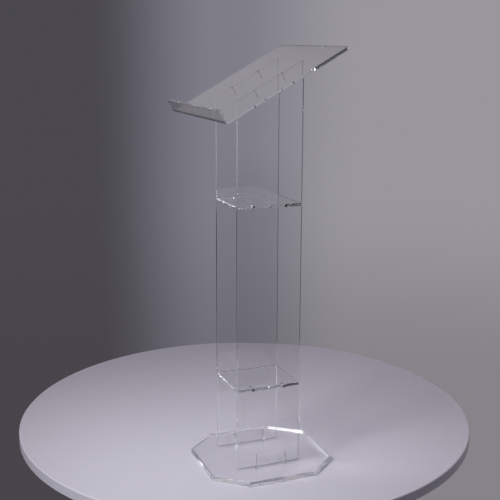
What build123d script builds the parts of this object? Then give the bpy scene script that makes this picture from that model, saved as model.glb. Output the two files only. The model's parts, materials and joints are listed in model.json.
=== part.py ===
from build123d import *

import math
import os

# Clear acrylic presentation lectern, in millimetres.
# Frame: +Z up, origin at the centre of the base plate's underside, on the floor.
# The reader stands at -Y and faces +Y. "left" and "right" are the reader's: left is -X, right is +X.
# "reader" names the side nearer the reader (-Y), "hall" the side nearer the audience (+Y).

# --- Driving dimensions ---------------------------------------------------------------------------
TOP_HEIGHT = 1200.0  # highest edge of the reading plate
SHEET = 8.0  # thickness of the panels, shelves and reading plate
BASE_SHEET = 15.0
DRY_JOINT = 0.1  # air film between two sheets that are screwed together, not glued
ARRIS = 0.5  # polished break on every sheet's outer edges

BASE_WIDTH = 350.0  # along X
BASE_DEPTH = 368.0  # along Y
BASE_CUT_X = 78.0  # corner cuts that make the base eight-sided
BASE_CUT_Y = 88.0

PANEL_GAP = 160.0  # clear width between the two side panels
PANEL_DEPTH = 190.0
PANEL_MID_Y = -10.0  # the column stands a little towards the reader

LOWER_SHELF_MID_Z = 249.0
UPPER_SHELF_MID_Z = 772.0

PLATE_TILT = 29.3  # degrees above the horizontal, rising towards the hall
PLATE_WIDTH = 450.0
PLATE_LENGTH = 382.0  # along the slope, from the lip's outer face to the hall edge
PLATE_HALL_Y = 146.0  # Y of the reading plate's highest edge
PLATE_CORNER_R = 8.0
LIP_HEIGHT = 34.0  # above the reading surface
LIP_CORNER_R = 5.0
BEND_INNER_R = 4.0  # the lip is bent up hot from the same sheet

# M4 countersunk socket screws and their holes.
SCREW_R = 1.95  # over the threads
TAPPED_R = 2.0
CLEARANCE_R = 2.25
HEAD_R = 4.0
HEAD_RIM = 0.15  # how far the head sits below the sheet's face
SINK_MARGIN = 0.05  # radial gap between the head's cone and the countersink
SOCKET_ACROSS_FLATS = 2.5
SOCKET_DEPTH = 1.4
TIP_CHAMFER = 0.6
DRILL_OVERRUN = 1.0  # tapped holes go this much deeper than the screw
DRILL_POINT_ANGLE = 118.0

BASE_SCREW_LENGTH = 50.0
SHELF_SCREW_LENGTH = 30.0
PLATE_SCREW_LENGTH = 30.0
BASE_SCREW_PITCH = 90.0
BASE_SCREW_MID_Y = -2.0
PLATE_SCREW_PITCH = 90.0
PLATE_SCREW_MID = 188.0  # down the slope from the hall edge
SHELF_SCREW_QUARTER = PANEL_DEPTH / 4  # the shelf screws stand on the quarter lines

# --- Positions worked out from them ---------------------------------------------------------------
SIDES = {"left": -1, "right": 1}
ENDS = {"reader": -1, "hall": 1}
PANEL_INNER_X = PANEL_GAP / 2
PANEL_MID_X = PANEL_INNER_X + SHEET / 2
PANEL_OUTER_X = PANEL_INNER_X + SHEET
PANEL_READER_Y = PANEL_MID_Y - PANEL_DEPTH / 2
PANEL_HALL_Y = PANEL_MID_Y + PANEL_DEPTH / 2
PANEL_FOOT_Z = BASE_SHEET + DRY_JOINT
SHELF_MID_Z = {"lower_shelf": LOWER_SHELF_MID_Z, "upper_shelf": UPPER_SHELF_MID_Z}

TILT = math.radians(PLATE_TILT)
# Local frame of the reading surface: origin at the middle of its highest edge, x across the lectern,
# y up the slope towards the hall, z square off the surface.
PLATE_FRAME = Location((0, PLATE_HALL_Y, TOP_HEIGHT), (PLATE_TILT, 0, 0))
BEND_OUTER_R = BEND_INNER_R + SHEET


def below_plate(y):
    """Height at which a panel's sloped top edge stops under the reading plate."""
    drop = (SHEET + DRY_JOINT) / math.cos(TILT)
    return TOP_HEIGHT - (PLATE_HALL_Y - y) * math.tan(TILT) - drop


def outward_location(point, direction):
    """A placement at point whose z axis runs along direction."""
    return Plane(origin=point, z_dir=direction).location


# --- Screws and holes, drawn with the head's face at z = 0 and the shank running down -z -----------
def turned(points):
    """A solid turned about z from a closed outline of (radius, z) points."""
    outline = Polyline(*[(r, 0, z) for r, z in points], close=True)
    return revolve(make_face(outline), axis=Axis.Z)


def screw(length):
    """Countersunk screw with a hexagon socket, overall length as sold."""
    cone_end = HEAD_RIM + HEAD_R - SCREW_R
    body = turned(
        [
            (0, -HEAD_RIM),
            (HEAD_R, -HEAD_RIM),
            (SCREW_R, -cone_end),
            (SCREW_R, -length + TIP_CHAMFER),
            (SCREW_R - TIP_CHAMFER, -length),
            (0, -length),
        ]
    )
    hexagon = RegularPolygon(SOCKET_ACROSS_FLATS / 2, 6, major_radius=False)
    socket = Pos(0, 0, -HEAD_RIM) * extrude(hexagon, -SOCKET_DEPTH)
    return body - socket


def countersunk_hole(depth):
    """Clearance hole with a 90 degree countersink at z = 0."""
    mouth = HEAD_R + HEAD_RIM + SINK_MARGIN
    return turned(
        [
            (0, 1),
            (mouth + 1, 1),
            (CLEARANCE_R, CLEARANCE_R - mouth),
            (CLEARANCE_R, -depth - 1),
            (0, -depth - 1),
        ]
    )


def tapped_hole(start, length):
    """Blind hole from z = -start, deep enough for a screw of the given length, with a drill point."""
    end = length + DRILL_OVERRUN
    point = TAPPED_R / math.tan(math.radians(DRILL_POINT_ANGLE / 2))
    return turned([(0, -start + 1), (TAPPED_R, -start + 1), (TAPPED_R, -end), (0, -end - point)])


# --- Where every screw goes -----------------------------------------------------------------------
def base_screw_places():
    """Heads flush in the base plate's underside, shanks up into the panels' bottom edges."""
    places = {}
    for side, sx in SIDES.items():
        for end, sy in ENDS.items():
            point = (sx * PANEL_MID_X, BASE_SCREW_MID_Y + sy * BASE_SCREW_PITCH / 2, 0)
            places[f"base_screw_{side}_{end}"] = outward_location(point, (0, 0, -1))
    return places


def shelf_screw_places(shelf):
    """Heads flush in the panels' outer faces, shanks into the shelf's two ends."""
    places = {}
    for side, sx in SIDES.items():
        for end, sy in ENDS.items():
            point = (sx * PANEL_OUTER_X, PANEL_MID_Y + sy * SHELF_SCREW_QUARTER, SHELF_MID_Z[shelf])
            places[f"{shelf}_screw_{side}_{end}"] = outward_location(point, (sx, 0, 0))
    return places


def plate_screw_places():
    """Heads flush in the reading surface, shanks down into the panels' sloped top edges."""
    places = {}
    for side, sx in SIDES.items():
        for end, sy in ENDS.items():
            along = -PLATE_SCREW_MID + sy * PLATE_SCREW_PITCH / 2
            places[f"plate_screw_{side}_{end}"] = PLATE_FRAME * Pos(sx * PANEL_MID_X, along, 0)
    return places


BASE_SCREWS = base_screw_places()
SHELF_SCREWS = {shelf: shelf_screw_places(shelf) for shelf in SHELF_MID_Z}
PLATE_SCREWS = plate_screw_places()


def on_side(places, side):
    return [place for name, place in places.items() if f"_{side}_" in name]


# --- Sheets ---------------------------------------------------------------------------------------
def base_plate():
    """Eight-sided sheet with four countersunk holes underneath."""
    x, y = BASE_WIDTH / 2, BASE_DEPTH / 2
    in_x, in_y = x - BASE_CUT_X, y - BASE_CUT_Y
    outline = Polyline(
        (in_x, -y), (x, -in_y), (x, in_y), (in_x, y),
        (-in_x, y), (-x, in_y), (-x, -in_y), (-in_x, -y),
        close=True,
    )
    sheet = extrude(make_face(outline), BASE_SHEET)
    sheet = chamfer(sheet.edges(), ARRIS)
    for place in BASE_SCREWS.values():
        sheet -= place * countersunk_hole(BASE_SHEET)
    return sheet


def side_panel(side):
    """Tall sheet with a sloped top, tapped in both end edges and countersunk at each shelf."""
    inner_x = PANEL_INNER_X if SIDES[side] > 0 else -PANEL_OUTER_X
    profile = Polyline(
        (PANEL_READER_Y, PANEL_FOOT_Z),
        (PANEL_HALL_Y, PANEL_FOOT_Z),
        (PANEL_HALL_Y, below_plate(PANEL_HALL_Y)),
        (PANEL_READER_Y, below_plate(PANEL_READER_Y)),
        close=True,
    )
    sheet = extrude(Plane.YZ.offset(inner_x) * make_face(profile), SHEET)
    sheet = chamfer(sheet.edges(), ARRIS)
    for place in on_side(BASE_SCREWS, side):
        sheet -= place * tapped_hole(BASE_SHEET, BASE_SCREW_LENGTH)
    for place in on_side(PLATE_SCREWS, side):
        sheet -= place * tapped_hole(SHEET, PLATE_SCREW_LENGTH)
    for places in SHELF_SCREWS.values():
        for place in on_side(places, side):
            sheet -= place * countersunk_hole(SHEET)
    return sheet


def shelf(name):
    """Sheet that fits between the panels, tapped in its two ends."""
    sheet = Pos(0, PANEL_MID_Y, SHELF_MID_Z[name]) * Box(PANEL_GAP - 2 * DRY_JOINT, PANEL_DEPTH, SHEET)
    sheet = chamfer(sheet.edges(), ARRIS)
    for place in SHELF_SCREWS[name].values():
        sheet -= place * tapped_hole(SHEET, SHELF_SCREW_LENGTH)
    return sheet


def reading_plate():
    """Tilted sheet whose reader-side edge is bent up into a lip, square to the surface."""
    lip_inner = -PLATE_LENGTH + SHEET
    bend = lip_inner + BEND_INNER_R
    profile = [
        Line((0, 0), (bend, 0)),
        CenterArc((bend, BEND_INNER_R), BEND_INNER_R, 180, 90),
        Line((lip_inner, BEND_INNER_R), (lip_inner, LIP_HEIGHT)),
        Line((lip_inner, LIP_HEIGHT), (-PLATE_LENGTH, LIP_HEIGHT)),
        Line((-PLATE_LENGTH, LIP_HEIGHT), (-PLATE_LENGTH, BEND_INNER_R)),
        CenterArc((bend, BEND_INNER_R), BEND_OUTER_R, 180, 90),
        Line((bend, -SHEET), (0, -SHEET)),
        Line((0, -SHEET), (0, 0)),
    ]
    face = Plane.YZ.offset(-PLATE_WIDTH / 2) * make_face(profile)
    sheet = extrude(face, PLATE_WIDTH)
    upright = sheet.edges().filter_by(Axis.Z).sort_by(Axis.Y)
    sheet = fillet(upright[-2:], PLATE_CORNER_R)
    lip_corners = sheet.edges().filter_by(Axis.Y).sort_by(Axis.Z)
    sheet = fillet(lip_corners[-2:], LIP_CORNER_R)
    # Break the outline's edges only: lines as short as the sheet is thick, or as long as the plate is
    # wide, are where an arc runs smoothly into a flat.
    smooth = (SHEET, PLATE_WIDTH)
    outline = sheet.edges().filter_by(lambda e: all(abs(e.length - size) > 1e-3 for size in smooth))
    sheet = PLATE_FRAME * chamfer(outline, ARRIS)
    for place in PLATE_SCREWS.values():
        sheet -= place * countersunk_hole(SHEET)
    return sheet


# --- The lectern ----------------------------------------------------------------------------------
def lectern():
    pieces = {"base_plate": base_plate(), "reading_plate": reading_plate()}
    for side in SIDES:
        pieces[f"side_panel_{side}"] = side_panel(side)
    for name in SHELF_MID_Z:
        pieces[name] = shelf(name)
        for screw_name, place in SHELF_SCREWS[name].items():
            pieces[screw_name] = place * screw(SHELF_SCREW_LENGTH)
    for screw_name, place in BASE_SCREWS.items():
        pieces[screw_name] = place * screw(BASE_SCREW_LENGTH)
    for screw_name, place in PLATE_SCREWS.items():
        pieces[screw_name] = place * screw(PLATE_SCREW_LENGTH)
    return pieces


os.makedirs("parts", exist_ok=True)
for node, piece in lectern().items():
    export_step(piece, f"parts/{node}.step")
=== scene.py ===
"""Clear acrylic presentation lectern: looks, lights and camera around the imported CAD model.

Metres, +Z up. The reader stands at -Y and faces +Y, the hall.
"""
import json
import math

import bmesh
import bpy
from mathutils import Matrix, Vector


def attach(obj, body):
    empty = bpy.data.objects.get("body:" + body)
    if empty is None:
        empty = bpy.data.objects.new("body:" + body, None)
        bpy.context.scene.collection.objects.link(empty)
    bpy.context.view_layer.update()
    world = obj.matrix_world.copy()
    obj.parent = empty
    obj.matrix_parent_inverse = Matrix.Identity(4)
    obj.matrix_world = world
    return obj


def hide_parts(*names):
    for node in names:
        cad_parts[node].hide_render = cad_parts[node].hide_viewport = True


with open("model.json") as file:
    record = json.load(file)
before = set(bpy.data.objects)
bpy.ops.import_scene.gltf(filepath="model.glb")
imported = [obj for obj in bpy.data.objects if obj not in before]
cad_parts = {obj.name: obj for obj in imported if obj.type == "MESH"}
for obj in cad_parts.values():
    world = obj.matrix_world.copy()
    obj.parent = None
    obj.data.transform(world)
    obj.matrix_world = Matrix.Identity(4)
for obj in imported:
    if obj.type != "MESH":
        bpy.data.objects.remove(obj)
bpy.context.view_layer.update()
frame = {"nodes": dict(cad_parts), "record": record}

SHEETS = [name for name in frame["nodes"] if "screw" not in name]
SCREWS = [name for name in frame["nodes"] if "screw" in name]

# --- Camera ---------------------------------------------------------------------------------------
CAMERA_PLACE = Vector((2.41220, -0.97529, 1.21762))
CAMERA_HEADING = 21.31  # degrees from -X towards +Y
CAMERA_PITCH = 12.68  # degrees downward
CAMERA_ROLL = 0.16
CAMERA_LENS = 67.63
SENSOR = 36.0

# --- Table top ------------------------------------------------------------------------------------
FLOOR_CENTRE = Vector((-0.343, 0.082, 0.0))
FLOOR_RADIUS = 0.735
FLOOR_THICKNESS = 0.030
FLOOR_EDGE_ROUND = 0.004
FLOOR_GAP = 0.0003  # air under the base plate
FLOOR_SIDES = 256
FLOOR_COLOUR = (0.60, 0.58, 0.66, 1.0)
FLOOR_ROUGHNESS = 0.35
FLOOR_SPECULAR = 0.8

# --- Room: colours of its walls and of the patches that the clear faces mirror --------------------
DARK_WALL = (0.070, 0.0655, 0.078)
MID_WALL = (0.213, 0.205, 0.247)
PALE_WALL = (0.320, 0.306, 0.338)
READER_WALL = (0.30, 0.29, 0.33)
HIGH_WALL = (0.37, 0.3533, 0.3774)
UNDER_TABLE = (0.05, 0.048, 0.052)
BLACK_PATCH = (0.002, 0.002, 0.002)
DIM_PATCH = (0.22, 0.22, 0.26)
SOFT_PATCH = (0.46, 0.44, 0.47)
BRIGHT_PATCH = (0.90, 0.88, 0.95)
LAMP_PATCH = (7.0, 6.8, 7.0)
STRIP = (0.8, 0.776, 0.824)
STRIP_FOOT = (0.9, 0.873, 0.927)

# --- Lights ---------------------------------------------------------------------------------------
LIGHT_DISTANCE = 2.4
LIGHT_TARGET = Vector((0.02, -0.03, 0.0))
LIGHT_SPREAD = 54  # degrees
BOUNCES = 64  # light crosses many clear faces

# --- Clear acrylic --------------------------------------------------------------------------------
ACRYLIC_IOR = 1.49
ACRYLIC_DEPTH_COLOUR = (0.90, 0.93, 1.0, 1.0)
ACRYLIC_TINT = 0.9  # absorption per metre
WIPE_SCALE = 7.0
WIPE_ROUGHNESS = 0.035
WAVE_SCALE = 9.0
WAVE_HEIGHT = 0.00002
SCRATCH_ROUGHNESS = 0.05
SCRATCH_DEPTH = 0.000002
SCRATCH_SETS = (  # turn, and stretch along each axis
    (0.35, (3.0, 90.0, 70.0)),
    (-0.9, (80.0, 2.5, 95.0)),
)

# --- Stainless steel ------------------------------------------------------------------------------
STEEL_DARK = (0.60, 0.585, 0.56)
STEEL_LIGHT = (0.78, 0.765, 0.74)
STEEL_TONE_SCALE = 420.0
STEEL_SMOOTH = 0.05
STEEL_ROUGH = 0.13
# painted shade: near-black colour laid into each screw's hex socket so the head reads dark
PAINTED_SOCKET_SHADE = (0.02, 0.019, 0.018)
RING_PITCHES = 2 * math.pi / 0.00016  # turning marks 0.16 mm apart
RING_HEIGHT = 0.0000008

# --- Screws: M4 countersunk with a hexagon socket -------------------------------------------------
HEAD_R = 0.0040
HEAD_EDGE = 0.00006  # small break round the head's face
NECK_R = 0.00172
NECK_END = 0.0032  # the thread starts this far below the face
THREAD_PITCH = 0.0007
THREAD_R = 0.00194
THREAD_DEPTH = 0.00043
TIP_R = 0.00133
TIP_LENGTH = 0.0006
TIP_CLEARANCE = 0.00002  # keeps the tip inside the CAD screw
SOCKET_FLAT = 0.00125  # half of 2.5 mm across the flats
SOCKET_MOUTH_R = 0.00158
SOCKET_LEAD = 0.00014
SOCKET_DEPTH = 0.0014
SOCKET_DIMPLE = 0.0003
SCREW_SIDES = 18
ROWS_PER_PITCH = 5
SHARP_ANGLE = 38  # degrees
SPIN_STEP = 2.4  # each screw's socket stops at its own angle


def direction(azimuth, elevation):
    """Unit vector: azimuth in degrees from +X towards +Y, elevation above the horizon."""
    a, e = math.radians(azimuth), math.radians(elevation)
    return Vector((math.cos(a) * math.cos(e), math.sin(a) * math.cos(e), math.sin(e)))


def link(obj):
    bpy.context.scene.collection.objects.link(obj)
    return obj


# --- Node helpers ---------------------------------------------------------------------------------
def new_material(name):
    material = bpy.data.materials.new(name)
    material.use_nodes = True
    nodes, links = material.node_tree.nodes, material.node_tree.links
    return material, nodes, links, nodes["Principled BSDF"]


def math_node(nodes, links, operation, first, second=None, third=None):
    node = nodes.new("ShaderNodeMath")
    node.operation = operation
    for socket, value in zip(node.inputs, (first, second, third)):
        if value is None:
            continue
        if isinstance(value, (int, float)):
            socket.default_value = value
        else:
            links.new(value, socket)
    return node.outputs[0]


def noise(nodes, links, vector, scale, detail=3.0, roughness=0.5, distortion=0.0):
    node = nodes.new("ShaderNodeTexNoise")
    node.inputs["Scale"].default_value = scale
    node.inputs["Detail"].default_value = detail
    node.inputs["Roughness"].default_value = roughness
    node.inputs["Distortion"].default_value = distortion
    links.new(vector, node.inputs["Vector"])
    return node.outputs["Fac"]


def remap(nodes, links, value, start, end, low, high):
    """low where value is start, easing to high where it is end."""
    node = nodes.new("ShaderNodeMapRange")
    node.interpolation_type = "SMOOTHSTEP"
    links.new(value, node.inputs["Value"])
    for socket, number in (("From Min", start), ("From Max", end), ("To Min", low), ("To Max", high)):
        node.inputs[socket].default_value = number
    return node.outputs["Result"]


def blend(nodes, links, below, above, factor):
    """below where factor is 0 and above where it is 1; each is a colour or a colour socket."""
    node = nodes.new("ShaderNodeMix")
    node.data_type = "RGBA"
    links.new(factor, node.inputs["Factor"])
    for socket, colour in ((node.inputs[6], below), (node.inputs[7], above)):
        if isinstance(colour, tuple):
            socket.default_value = (*colour, 1.0)
        else:
            links.new(colour, socket)
    return node.outputs[2]


def add_bump(nodes, links, shader, height, distance):
    bump = nodes.new("ShaderNodeBump")
    bump.inputs["Distance"].default_value = distance
    links.new(height, bump.inputs["Height"])
    links.new(bump.outputs["Normal"], shader.inputs["Normal"])


# --- Materials ------------------------------------------------------------------------------------
def clear_acrylic():
    """Cast sheet: faintly wavy faces, wipe marks and hair scratches, and a trace of blue in its depth."""
    material, nodes, links, shader = new_material("clear_acrylic")
    shader.inputs["Base Color"].default_value = (1.0, 1.0, 1.0, 1.0)
    shader.inputs["IOR"].default_value = ACRYLIC_IOR
    shader.inputs["Transmission Weight"].default_value = 1.0
    place = nodes.new("ShaderNodeTexCoord").outputs["Object"]
    wipes = noise(nodes, links, place, WIPE_SCALE, detail=4.0, roughness=0.6, distortion=0.8)
    haze = remap(nodes, links, wipes, 0.56, 0.78, 0.0, WIPE_ROUGHNESS)
    scratches = hair_scratches(nodes, links, place)
    worn = math_node(nodes, links, "MULTIPLY_ADD", scratches, SCRATCH_ROUGHNESS, haze)
    links.new(worn, shader.inputs["Roughness"])
    waves = noise(nodes, links, place, WAVE_SCALE, detail=1.0)
    relief = math_node(nodes, links, "MULTIPLY_ADD", scratches, -SCRATCH_DEPTH / WAVE_HEIGHT, waves)
    add_bump(nodes, links, shader, relief, WAVE_HEIGHT)
    tint = nodes.new("ShaderNodeVolumeAbsorption")
    tint.inputs["Color"].default_value = ACRYLIC_DEPTH_COLOUR
    tint.inputs["Density"].default_value = ACRYLIC_TINT
    links.new(tint.outputs["Volume"], nodes["Material Output"].inputs["Volume"])
    return material


def hair_scratches(nodes, links, place):
    """1 along sparse, thin, slightly bent lines, 0 elsewhere."""
    total = None
    for turn, stretch in SCRATCH_SETS:
        mapping = nodes.new("ShaderNodeMapping")
        mapping.inputs["Rotation"].default_value = (turn, 0.5 * turn, turn)
        mapping.inputs["Scale"].default_value = stretch
        links.new(place, mapping.inputs["Vector"])
        streaks = noise(nodes, links, mapping.outputs["Vector"], 1.0, detail=2.0, roughness=0.7)
        line = remap(nodes, links, streaks, 0.735, 0.76, 0.0, 1.0)
        total = line if total is None else math_node(nodes, links, "MAXIMUM", total, line)
    return total


def stainless_steel():
    """Turned stainless: fine rings round the piece's own z, an uneven sheen, and painted shade darkening the
    socket.
    """
    material, nodes, links, shader = new_material("stainless_screw")
    shader.inputs["Metallic"].default_value = 1.0
    place = nodes.new("ShaderNodeTexCoord").outputs["Object"]
    tone = noise(nodes, links, place, STEEL_TONE_SCALE, detail=3.0)
    colour = blend(nodes, links, STEEL_DARK, STEEL_LIGHT, tone)
    links.new(remap(nodes, links, tone, 0.3, 0.7, STEEL_SMOOTH, STEEL_ROUGH), shader.inputs["Roughness"])
    split = nodes.new("ShaderNodeSeparateXYZ")
    links.new(place, split.inputs[0])
    x, y, z = split.outputs
    across = math_node(nodes, links, "POWER", x, 2.0)
    both = math_node(nodes, links, "ADD", across, math_node(nodes, links, "POWER", y, 2.0))
    radius = math_node(nodes, links, "SQRT", both)
    # painted shade: inside the socket mouth and above its floor, the colour is blended to near black
    inside = remap(nodes, links, radius, 0.96 * SOCKET_MOUTH_R, SOCKET_MOUTH_R, 1.0, 0.0)
    shallow = remap(nodes, links, z, -1.5 * SOCKET_DEPTH, -1.3 * SOCKET_DEPTH, 0.0, 1.0)
    socket_shade_mask = math_node(nodes, links, "MULTIPLY", inside, shallow)
    links.new(blend(nodes, links, colour, PAINTED_SOCKET_SHADE, socket_shade_mask), shader.inputs["Base Color"])
    rings = math_node(nodes, links, "SINE", math_node(nodes, links, "MULTIPLY", radius, RING_PITCHES))
    add_bump(nodes, links, shader, rings, RING_HEIGHT)
    return material


def floor_material():
    material, nodes, links, shader = new_material("floor")
    shader.inputs["Base Color"].default_value = FLOOR_COLOUR
    shader.inputs["Roughness"].default_value = FLOOR_ROUGHNESS
    shader.inputs["Specular IOR Level"].default_value = FLOOR_SPECULAR
    return material


def dress_sheets():
    acrylic = clear_acrylic()
    for name in SHEETS:
        frame["nodes"][name].material_slots[0].material = acrylic


# --- Screws ---------------------------------------------------------------------------------------
def thread_height(turns):
    """0 at the thread's root, 1 at its crest."""
    rise = 1 - abs(2 * (turns % 1.0) - 1)
    return min(1.0, max(0.0, 1.5 * rise - 0.25))


def screw_mesh(length, material):
    """Closed screw with its face at z = 0 and the shank running down -z."""
    angles = [2 * math.pi * i / SCREW_SIDES for i in range(SCREW_SIDES)]
    bm = bmesh.new()

    def ring(radius_at, z):
        return [bm.verts.new((radius_at(a) * math.cos(a), radius_at(a) * math.sin(a), z)) for a in angles]

    def hexagon(a):
        return SOCKET_FLAT / math.cos((a + math.pi / 6) % (math.pi / 3) - math.pi / 6)

    def shank(z):
        def radius_at(a):
            turns = -z / THREAD_PITCH + a / (2 * math.pi)
            start = min(1.0, max(0.0, (-z - NECK_END) / THREAD_PITCH))
            root = THREAD_R - THREAD_DEPTH
            crest = root + THREAD_DEPTH * thread_height(turns)
            tip = TIP_R + (THREAD_R - TIP_R) * min(1.0, (length + z) / TIP_LENGTH)
            return min(NECK_R + (crest - NECK_R) * start, tip)
        return radius_at

    rings = [
        ring(lambda a: 0.55 * SOCKET_FLAT, -SOCKET_DEPTH),
        ring(hexagon, -SOCKET_DEPTH),
        ring(hexagon, -SOCKET_LEAD),
        ring(lambda a: SOCKET_MOUTH_R, 0.0),
        ring(lambda a: 0.5 * (SOCKET_MOUTH_R + HEAD_R), 0.0),
        ring(lambda a: HEAD_R - 1.5 * HEAD_EDGE, 0.0),
        ring(lambda a: HEAD_R - HEAD_EDGE, -0.5 * HEAD_EDGE),
        ring(lambda a: NECK_R, NECK_R - HEAD_R),
    ]
    rows = math.ceil((length - NECK_END) / THREAD_PITCH * ROWS_PER_PITCH)
    for i in range(rows + 1):
        z = -NECK_END - (length - NECK_END) * i / rows
        rings.append(ring(shank(z), z))
    for inner, outer in zip(rings, rings[1:]):
        for i in range(SCREW_SIDES):
            j = (i + 1) % SCREW_SIDES
            bm.faces.new((inner[i], outer[i], outer[j], inner[j]))
    for edge_ring, z, flip in ((rings[0], -SOCKET_DEPTH - SOCKET_DIMPLE, True), (rings[-1], -length, False)):
        middle = bm.verts.new((0, 0, z))
        for i in range(SCREW_SIDES):
            j = (i + 1) % SCREW_SIDES
            corners = (edge_ring[i], edge_ring[j], middle)
            bm.faces.new(corners if flip else tuple(reversed(corners)))
    bmesh.ops.recalc_face_normals(bm, faces=bm.faces)
    mesh = bpy.data.meshes.new("screw")
    bm.to_mesh(mesh)
    bm.free()
    mesh.shade_smooth()
    mesh.set_sharp_from_angle(angle=math.radians(SHARP_ANGLE))
    mesh.materials.append(material)
    return mesh


def outward(name):
    """The way a screw's head faces."""
    if name.startswith("base"):
        return Vector((0, 0, -1))
    if name.startswith("plate"):
        surface = next(m for m in frame["record"]["mounts"] if m["name"] == "reading_surface")
        return Vector(surface["axis"]).normalized()
    return Vector((1 if "right" in name else -1, 0, 0))


def head_and_length(name, axis):
    """Middle of a CAD screw's face, and its length along axis."""
    points = [v.co for v in frame["nodes"][name].data.vertices]
    turn = axis.to_track_quat("Z", "Y")
    middle = Vector((0, 0, 0))
    for side in (turn @ Vector((1, 0, 0)), turn @ Vector((0, 1, 0))):
        reach = [p.dot(side) for p in points]
        middle += side * (min(reach) + max(reach)) / 2
    depths = [p.dot(axis) for p in points]
    return middle + axis * max(depths), max(depths) - min(depths)


def screws():
    """A threaded screw in place of each plain CAD one."""
    steel = stainless_steel()
    meshes = {}
    for count, name in enumerate(SCREWS):
        axis = outward(name)
        head, length = head_and_length(name, axis)
        key = round(length, 4)
        if key not in meshes:
            meshes[key] = screw_mesh(length - TIP_CLEARANCE, steel)
        piece = link(bpy.data.objects.new(name + "_turned", meshes[key]))
        turn = axis.to_track_quat("Z", "Y").to_matrix().to_4x4()
        spin = Matrix.Rotation(count * SPIN_STEP, 4, "Z")
        piece.matrix_world = Matrix.Translation(head) @ turn @ spin
        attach(piece, "root")
        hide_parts(name)


# --- Stage, room and lights -----------------------------------------------------------------------
def floor():
    """Pale round table top, with a softly rounded rim."""
    outline = []
    for degrees in range(0, 91, 15):
        a = math.radians(degrees)
        radius = FLOOR_RADIUS - FLOOR_EDGE_ROUND * (1 - math.sin(a))
        outline.append((radius, -FLOOR_EDGE_ROUND * (1 - math.cos(a))))
    outline.append((FLOOR_RADIUS, -FLOOR_THICKNESS))
    angles = [2 * math.pi * i / FLOOR_SIDES for i in range(FLOOR_SIDES)]
    bm = bmesh.new()
    rings = [[bm.verts.new((r * math.cos(a), r * math.sin(a), z)) for a in angles] for r, z in outline]
    for upper, lower in zip(rings, rings[1:]):
        for i in range(FLOOR_SIDES):
            j = (i + 1) % FLOOR_SIDES
            bm.faces.new((upper[i], lower[i], lower[j], upper[j]))
    bm.faces.new(rings[0])
    bm.faces.new(list(reversed(rings[-1])))
    mesh = bpy.data.meshes.new("floor")
    bm.to_mesh(mesh)
    bm.free()
    mesh.materials.append(floor_material())
    obj = link(bpy.data.objects.new("floor", mesh))
    obj.location = FLOOR_CENTRE - Vector((0, 0, FLOOR_GAP))


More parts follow.
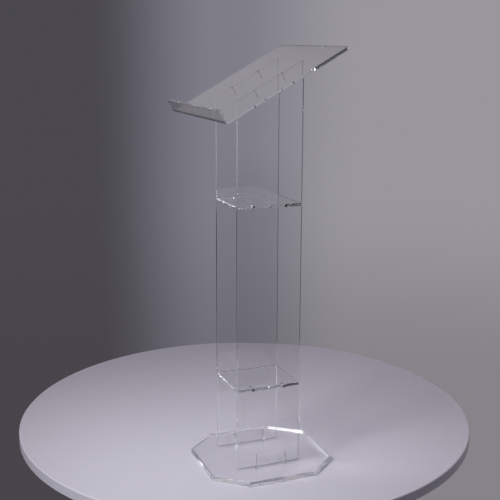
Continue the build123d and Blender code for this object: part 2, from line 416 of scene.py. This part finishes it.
def studio_world():
    """Soft grey room. Its walls and patches are what the clear faces and the screw heads mirror."""
    world = bpy.data.worlds.new("studio")
    bpy.context.scene.world = world
    world.use_nodes = True
    nodes, links = world.node_tree.nodes, world.node_tree.links
    way = nodes.new("ShaderNodeTexCoord").outputs["Generated"]
    split = nodes.new("ShaderNodeSeparateXYZ")
    links.new(way, split.inputs[0])
    x, y, z = split.outputs

    def calc(operation, first, second=None):
        return math_node(nodes, links, operation, first, second)

    def within(cosine, gone, full):
        """1 where an angle, given by its cosine, is under full degrees, easing to 0 at gone degrees."""
        angle = calc("ARCCOSINE", calc("MINIMUM", cosine, 0.99999))
        return remap(nodes, links, angle, math.radians(gone), math.radians(full), 0.0, 1.0)

    def spot(azimuth, elevation, full, gone):
        """Round patch of the room."""
        dot = nodes.new("ShaderNodeVectorMath")
        dot.operation = "DOT_PRODUCT"
        links.new(way, dot.inputs[0])
        dot.inputs[1].default_value = direction(azimuth, elevation)
        return within(dot.outputs["Value"], gone, full)

    def side(azimuth, gone, full):
        """Part of the room round an azimuth, at any elevation."""
        a = math.radians(azimuth)
        level = calc("SQRT", calc("ADD", calc("MULTIPLY", x, x), calc("MULTIPLY", y, y)))
        along = calc("ADD", calc("MULTIPLY", x, math.cos(a)), calc("MULTIPLY", y, math.sin(a)))
        return within(calc("DIVIDE", along, calc("MAXIMUM", level, 1e-4)), gone, full)

    def band(start, end, low=0.0, high=1.0):
        """low at elevation start, easing to high at elevation end."""
        start, end = (math.sin(math.radians(degrees)) for degrees in (start, end))
        return remap(nodes, links, z, start, end, low, high)

    def paint(below, above, *masks):
        factor = masks[0]
        for mask in masks[1:]:
            factor = calc("MULTIPLY", factor, mask)
        return blend(nodes, links, below, above, factor)

    room = paint(DARK_WALL, MID_WALL, side(110, 58.3, 50.4))
    room = paint(room, PALE_WALL, side(110, 50.1, 42))
    room = paint(room, READER_WALL, side(270, 44, 26))
    room = paint(room, UNDER_TABLE, band(-20, -9, 0.30, 0.0))
    room = paint(room, BLACK_PATCH, spot(22, -20, 14, 26))
    room = paint(room, DIM_PATCH, spot(22, 3, 9, 13))
    room = paint(room, HIGH_WALL, side(182, 20, 11), band(2, 14))
    room = paint(room, BRIGHT_PATCH, spot(20, 16, 6, 9))
    room = paint(room, LAMP_PATCH, spot(-60, 24, 6, 9))
    room = paint(room, SOFT_PATCH, spot(118, 18, 14, 26))
    room = paint(room, STRIP, side(198.6, 3.0, 1.8), band(-11, -9), band(34, 22))
    room = paint(room, STRIP_FOOT, spot(190, 19, 4, 8))
    links.new(room, nodes["Background"].inputs["Color"])


def area_light(name, azimuth, elevation, size, power):
    data = bpy.data.lights.new(name, "AREA")
    data.shape = "RECTANGLE"
    data.size, data.size_y = size
    data.energy = power
    data.spread = math.radians(LIGHT_SPREAD)
    obj = link(bpy.data.objects.new(name, data))
    obj.location = LIGHT_DISTANCE * direction(azimuth, elevation)
    obj.rotation_euler = (LIGHT_TARGET - obj.location).to_track_quat("-Z", "Y").to_euler()


def lights():
    """A broad key over the reader's place, and a small light beside it for the panels' shadows."""
    area_light("key", -77, 50, (1.3, 0.8), 4.2)
    area_light("side", -66, 44, (0.35, 0.3), 1.0)


def camera():
    data = bpy.data.cameras.new("camera")
    data.lens = CAMERA_LENS
    data.sensor_width = SENSOR
    obj = link(bpy.data.objects.new("camera", data))
    heading, pitch, roll = (math.radians(v) for v in (CAMERA_HEADING, CAMERA_PITCH, CAMERA_ROLL))
    level = Vector((-math.cos(heading), math.sin(heading), 0))
    forward = level * math.cos(pitch) - Vector((0, 0, math.sin(pitch)))
    right = Vector((math.sin(heading), math.cos(heading), 0))
    above = right.cross(forward)
    turned = Matrix((right, above, -forward)).transposed() @ Matrix.Rotation(roll, 3, "Z")
    obj.matrix_world = Matrix.Translation(CAMERA_PLACE) @ turned.to_4x4()
    bpy.context.scene.camera = obj


def light_transport():
    """Lets light through every clear face, with nothing clamped or blurred."""
    scene = bpy.context.scene
    scene.view_settings.view_transform = "Standard"
    scene.cycles.max_bounces = BOUNCES
    scene.cycles.glossy_bounces = BOUNCES
    scene.cycles.transmission_bounces = BOUNCES
    scene.cycles.blur_glossy = 0.0
    scene.cycles.sample_clamp_indirect = 0.0


dress_sheets()
screws()
floor()
studio_world()
lights()
camera()
light_transport()
